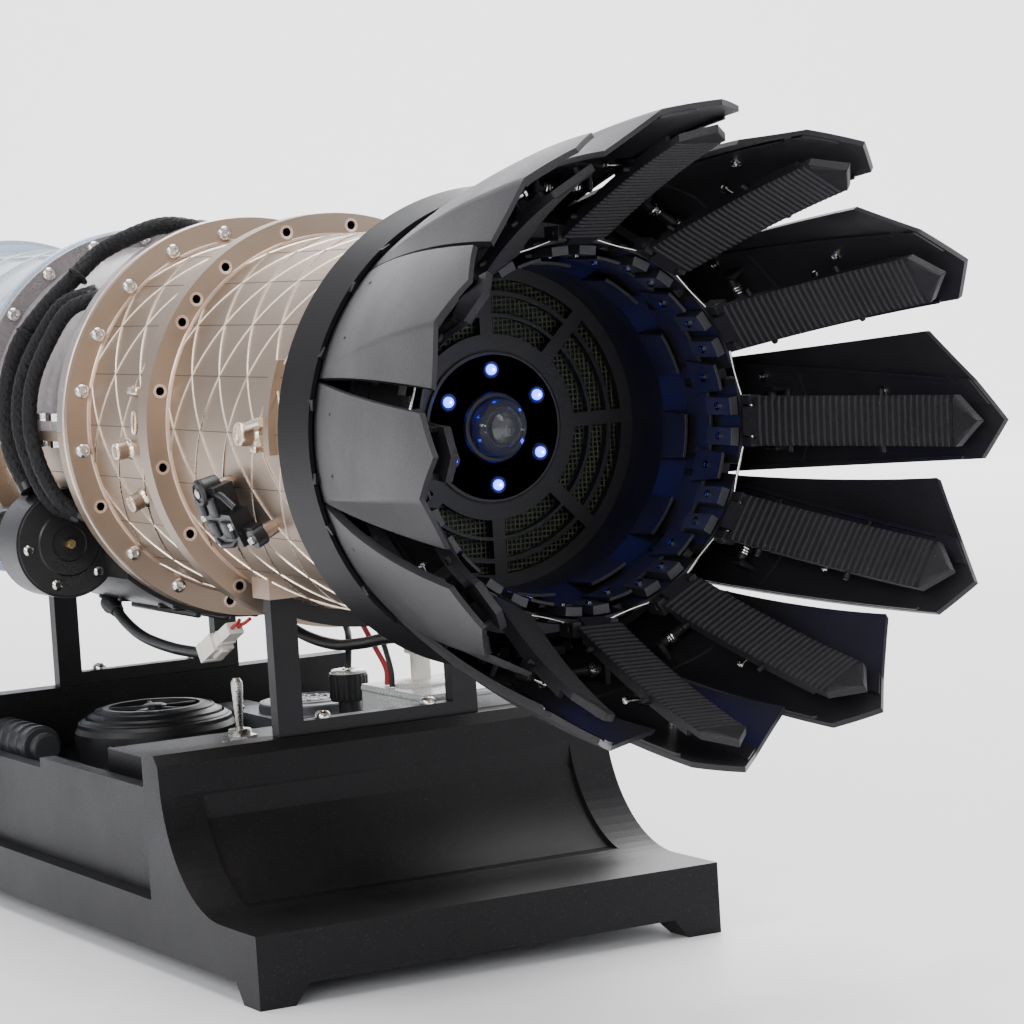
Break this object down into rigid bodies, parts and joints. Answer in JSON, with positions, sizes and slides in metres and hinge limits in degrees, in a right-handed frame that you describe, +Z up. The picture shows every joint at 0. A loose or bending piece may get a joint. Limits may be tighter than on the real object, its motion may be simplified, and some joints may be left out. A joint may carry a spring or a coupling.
{
  "type": "model turbofan engine on a desk stand",
  "caption": "Desk model of an afterburning turbofan with a working petal nozzle, clear core casing and a tray stand with switch, blower and mist tank.",
  "frame": {"origin": "middle of the model's length on the table plane, under the engine axis", "axes": "+X along the engine axis to the exhaust, +Z up, +Y to the right-hand side seen from the front"},
  "size_m": [0.5001, 0.1368, 0.1967],
  "materials": {
    "stand": "satin black moulding with a fine texture",
    "fasteners": "bright plated screws and nuts",
    "switch_metal": "nickel plated",
    "tray_plastic": "black moulding",
    "speaker": "grey-black moulding",
    "tank": "milky translucent plastic",
    "white_nylon": "white nylon",
    "cable": "black sleeve",
    "fan_metal": "pale satin",
    "rotor_metal": "machined",
    "clear_plastic": "clear casing",
    "champagne": "champagne satin anodised",
    "liner_red": "dark red heat tint",
    "gearbox": "black",
    "motor_metal": "grey can",
    "brass_gear": "machined",
    "hose": "black braided sleeve",
    "nozzle": "charcoal satin",
    "ring_metal": "grey anodised",
    "duct": "dark grey satin",
    "led": "lit blue",
    "lens": "clear dome",
    "petal": "charcoal satin",
    "strip": "matte black ribbed"
  },
  "bodies": {
    "root": {"stand_base": "stand", "rear_bracket": "stand", "front_bracket": "stand", "machine_screws": "fasteners", "switch_body": "switch_metal", "blower_housing": "tray_plastic", "mist_canister": "tray_plastic", "speaker": "speaker", "water_tank": "tank", "tank_fittings": "white_nylon", "wiring": "cable", "lead_connectors": "white_nylon", "intake_frame": "fan_metal", "fan_case": "fan_metal", "clear_case": "clear_plastic", "lower_case": "champagne", "case_nuts": "fasteners", "combustor_liner": "liner_red", "gearbox": "gearbox", "drive_motor": "motor_metal", "oil_hoses": "hose", "turbine_case": "champagne", "afterburner_case": "champagne", "valve_block": "gearbox", "nozzle_ring": "nozzle", "duct_liner": "duct", "convergent_plates": "duct", "flame_holder": "duct", "led_lamps": "led", "lens_dome": "lens"},
    "switch_lever": {"switch_lever": "switch_metal"},
    "blower_impeller": {"blower_impeller": "tray_plastic"},
    "fan_rotor": {"fan_rotor": "rotor_metal"},
    "core_rotor": {"core_rotor": "rotor_metal"},
    "motor_pinion": {"motor_pinion": "brass_gear"},
    "unison_ring": {"unison_ring": "ring_metal"},
    "outer_flap_1": {"outer_flap_1": "petal"},
    "outer_flap_2": {"outer_flap_2": "petal"},
    "outer_flap_3": {"outer_flap_3": "petal"},
    "outer_flap_4": {"outer_flap_4": "petal"},
    "outer_flap_5": {"outer_flap_5": "petal"},
    "outer_flap_6": {"outer_flap_6": "petal"},
    "outer_flap_7": {"outer_flap_7": "petal"},
    "outer_flap_8": {"outer_flap_8": "petal"},
    "outer_flap_9": {"outer_flap_9": "petal"},
    "outer_flap_10": {"outer_flap_10": "petal"},
    "outer_flap_11": {"outer_flap_11": "petal"},
    "outer_flap_12": {"outer_flap_12": "petal"},
    "inner_strip_1": {"inner_strip_1": "strip"},
    "inner_strip_2": {"inner_strip_2": "strip"},
    "inner_strip_3": {"inner_strip_3": "strip"},
    "inner_strip_4": {"inner_strip_4": "strip"},
    "inner_strip_5": {"inner_strip_5": "strip"},
    "inner_strip_6": {"inner_strip_6": "strip"},
    "inner_strip_7": {"inner_strip_7": "strip"},
    "inner_strip_8": {"inner_strip_8": "strip"},
    "inner_strip_9": {"inner_strip_9": "strip"},
    "inner_strip_10": {"inner_strip_10": "strip"},
    "inner_strip_11": {"inner_strip_11": "strip"},
    "inner_strip_12": {"inner_strip_12": "strip"}
  },
  "joints": [
    {"name": "fan_spin", "type": "hinge", "parent": "root", "child": "fan_rotor", "pos_m": [-0.2, 0, 0.12835], "axis": [1, 0, 0], "continuous": true},
    {"name": "core_spin", "type": "hinge", "parent": "root", "child": "core_rotor", "pos_m": [-0.05, 0, 0.12835], "axis": [1, 0, 0], "continuous": true},
    {"name": "pinion_spin", "type": "hinge", "parent": "root", "child": "motor_pinion", "pos_m": [-0.02, -0.04477, 0.09815], "axis": [1, 0, 0], "continuous": true},
    {"name": "blower_spin", "type": "hinge", "parent": "root", "child": "blower_impeller", "pos_m": [-0.034, -0.015, 0.04], "axis": [0, 0, 1], "continuous": true},
    {"name": "switch_tilt", "type": "hinge", "parent": "root", "child": "switch_lever", "pos_m": [0.035, -0.02, 0.0494], "axis": [1, 0, 0], "range_deg": [-12, 12]},
    {"name": "flap_1_hinge", "type": "hinge", "parent": "root", "child": "outer_flap_1", "pos_m": [0.1612, 0.00131, 0.17853], "axis": [0, 0.9997, -0.0262], "range_deg": [0, 12]},
    {"name": "flap_2_hinge", "type": "hinge", "parent": "root", "child": "outer_flap_2", "pos_m": [0.1612, 0.02623, 0.17115], "axis": [0, 0.8526, -0.5225], "range_deg": [0, 12]},
    {"name": "flap_3_hinge", "type": "hinge", "parent": "root", "child": "outer_flap_3", "pos_m": [0.1612, 0.04412, 0.1523], "axis": [0, 0.4772, -0.8788], "range_deg": [0, 12]},
    {"name": "flap_4_hinge", "type": "hinge", "parent": "root", "child": "outer_flap_4", "pos_m": [0.1612, 0.05018, 0.12704], "axis": [0, -0.0262, -0.9997], "range_deg": [0, 12]},
    {"name": "flap_5_hinge", "type": "hinge", "parent": "root", "child": "outer_flap_5", "pos_m": [0.1612, 0.0428, 0.10212], "axis": [0, -0.5225, -0.8526], "range_deg": [0, 12]},
    {"name": "flap_6_hinge", "type": "hinge", "parent": "root", "child": "outer_flap_6", "pos_m": [0.1612, 0.02395, 0.08423], "axis": [0, -0.8788, -0.4772], "range_deg": [0, 12]},
    {"name": "flap_7_hinge", "type": "hinge", "parent": "root", "child": "outer_flap_7", "pos_m": [0.1612, -0.00131, 0.07817], "axis": [0, -0.9997, 0.0262], "range_deg": [0, 12]},
    {"name": "flap_8_hinge", "type": "hinge", "parent": "root", "child": "outer_flap_8", "pos_m": [0.1612, -0.02623, 0.08555], "axis": [0, -0.8526, 0.5225], "range_deg": [0, 12]},
    {"name": "flap_9_hinge", "type": "hinge", "parent": "root", "child": "outer_flap_9", "pos_m": [0.1612, -0.04412, 0.1044], "axis": [0, -0.4772, 0.8788], "range_deg": [0, 12]},
    {"name": "flap_10_hinge", "type": "hinge", "parent": "root", "child": "outer_flap_10", "pos_m": [0.1612, -0.05018, 0.12966], "axis": [0, 0.0262, 0.9997], "range_deg": [0, 12]},
    {"name": "flap_11_hinge", "type": "hinge", "parent": "root", "child": "outer_flap_11", "pos_m": [0.1612, -0.0428, 0.15458], "axis": [0, 0.5225, 0.8526], "range_deg": [0, 12]},
    {"name": "flap_12_hinge", "type": "hinge", "parent": "root", "child": "outer_flap_12", "pos_m": [0.1612, -0.02395, 0.17247], "axis": [0, 0.8788, 0.4772], "range_deg": [0, 12]},
    {"name": "strip_1_hinge", "type": "hinge", "parent": "root", "child": "inner_strip_1", "pos_m": [0.1885, 0.00113, 0.17134], "axis": [0, 0.9997, -0.0262], "range_deg": [0, 20]},
    {"name": "strip_2_hinge", "type": "hinge", "parent": "root", "child": "inner_strip_2", "pos_m": [0.1885, 0.02247, 0.16501], "axis": [0, 0.8526, -0.5225], "range_deg": [0, 20]},
    {"name": "strip_3_hinge", "type": "hinge", "parent": "root", "child": "inner_strip_3", "pos_m": [0.1885, 0.03779, 0.14887], "axis": [0, 0.4772, -0.8788], "range_deg": [0, 20]},
    {"name": "strip_4_hinge", "type": "hinge", "parent": "root", "child": "inner_strip_4", "pos_m": [0.1885, 0.04299, 0.12722], "axis": [0, -0.0262, -0.9997], "range_deg": [0, 20]},
    {"name": "strip_5_hinge", "type": "hinge", "parent": "root", "child": "inner_strip_5", "pos_m": [0.1885, 0.03666, 0.10588], "axis": [0, -0.5225, -0.8526], "range_deg": [0, 20]},
    {"name": "strip_6_hinge", "type": "hinge", "parent": "root", "child": "inner_strip_6", "pos_m": [0.1885, 0.02052, 0.09056], "axis": [0, -0.8788, -0.4772], "range_deg": [0, 20]},
    {"name": "strip_7_hinge", "type": "hinge", "parent": "root", "child": "inner_strip_7", "pos_m": [0.1885, -0.00113, 0.08536], "axis": [0, -0.9997, 0.0262], "range_deg": [0, 20]},
    {"name": "strip_8_hinge", "type": "hinge", "parent": "root", "child": "inner_strip_8", "pos_m": [0.1885, -0.02247, 0.09169], "axis": [0, -0.8526, 0.5225], "range_deg": [0, 20]},
    {"name": "strip_9_hinge", "type": "hinge", "parent": "root", "child": "inner_strip_9", "pos_m": [0.1885, -0.03779, 0.10783], "axis": [0, -0.4772, 0.8788], "range_deg": [0, 20]},
    {"name": "strip_10_hinge", "type": "hinge", "parent": "root", "child": "inner_strip_10", "pos_m": [0.1885, -0.04299, 0.12948], "axis": [0, 0.0262, 0.9997], "range_deg": [0, 20]},
    {"name": "strip_11_hinge", "type": "hinge", "parent": "root", "child": "inner_strip_11", "pos_m": [0.1885, -0.03666, 0.15082], "axis": [0, 0.5225, 0.8526], "range_deg": [0, 20]},
    {"name": "strip_12_hinge", "type": "hinge", "parent": "root", "child": "inner_strip_12", "pos_m": [0.1885, -0.02052, 0.16614], "axis": [0, 0.8788, 0.4772], "range_deg": [0, 20]},
    {"name": "unison_slide", "type": "slide", "parent": "root", "child": "unison_ring", "axis": [-1, 0, 0], "range_m": [0, 0.00119]}
  ],
  "couplings": [
    {"joint": "pinion_spin", "follows": "core_spin", "ratio": -3.5},
    {"joint": "flap_2_hinge", "follows": "flap_1_hinge", "ratio": 1},
    {"joint": "flap_3_hinge", "follows": "flap_1_hinge", "ratio": 1},
    {"joint": "flap_4_hinge", "follows": "flap_1_hinge", "ratio": 1},
    {"joint": "flap_5_hinge", "follows": "flap_1_hinge", "ratio": 1},
    {"joint": "flap_6_hinge", "follows": "flap_1_hinge", "ratio": 1},
    {"joint": "flap_7_hinge", "follows": "flap_1_hinge", "ratio": 1},
    {"joint": "flap_8_hinge", "follows": "flap_1_hinge", "ratio": 1},
    {"joint": "flap_9_hinge", "follows": "flap_1_hinge", "ratio": 1},
    {"joint": "flap_10_hinge", "follows": "flap_1_hinge", "ratio": 1},
    {"joint": "flap_11_hinge", "follows": "flap_1_hinge", "ratio": 1},
    {"joint": "flap_12_hinge", "follows": "flap_1_hinge", "ratio": 1},
    {"joint": "strip_1_hinge", "follows": "flap_1_hinge", "ratio": 1.6667},
    {"joint": "strip_2_hinge", "follows": "flap_1_hinge", "ratio": 1.6667},
    {"joint": "strip_3_hinge", "follows": "flap_1_hinge", "ratio": 1.6667},
    {"joint": "strip_4_hinge", "follows": "flap_1_hinge", "ratio": 1.6667},
    {"joint": "strip_5_hinge", "follows": "flap_1_hinge", "ratio": 1.6667},
    {"joint": "strip_6_hinge", "follows": "flap_1_hinge", "ratio": 1.6667},
    {"joint": "strip_7_hinge", "follows": "flap_1_hinge", "ratio": 1.6667},
    {"joint": "strip_8_hinge", "follows": "flap_1_hinge", "ratio": 1.6667},
    {"joint": "strip_9_hinge", "follows": "flap_1_hinge", "ratio": 1.6667},
    {"joint": "strip_10_hinge", "follows": "flap_1_hinge", "ratio": 1.6667},
    {"joint": "strip_11_hinge", "follows": "flap_1_hinge", "ratio": 1.6667},
    {"joint": "strip_12_hinge", "follows": "flap_1_hinge", "ratio": 1.6667},
    {"joint": "unison_slide", "follows": "flap_1_hinge", "m_per_rad": 0.0056584}
  ]
}
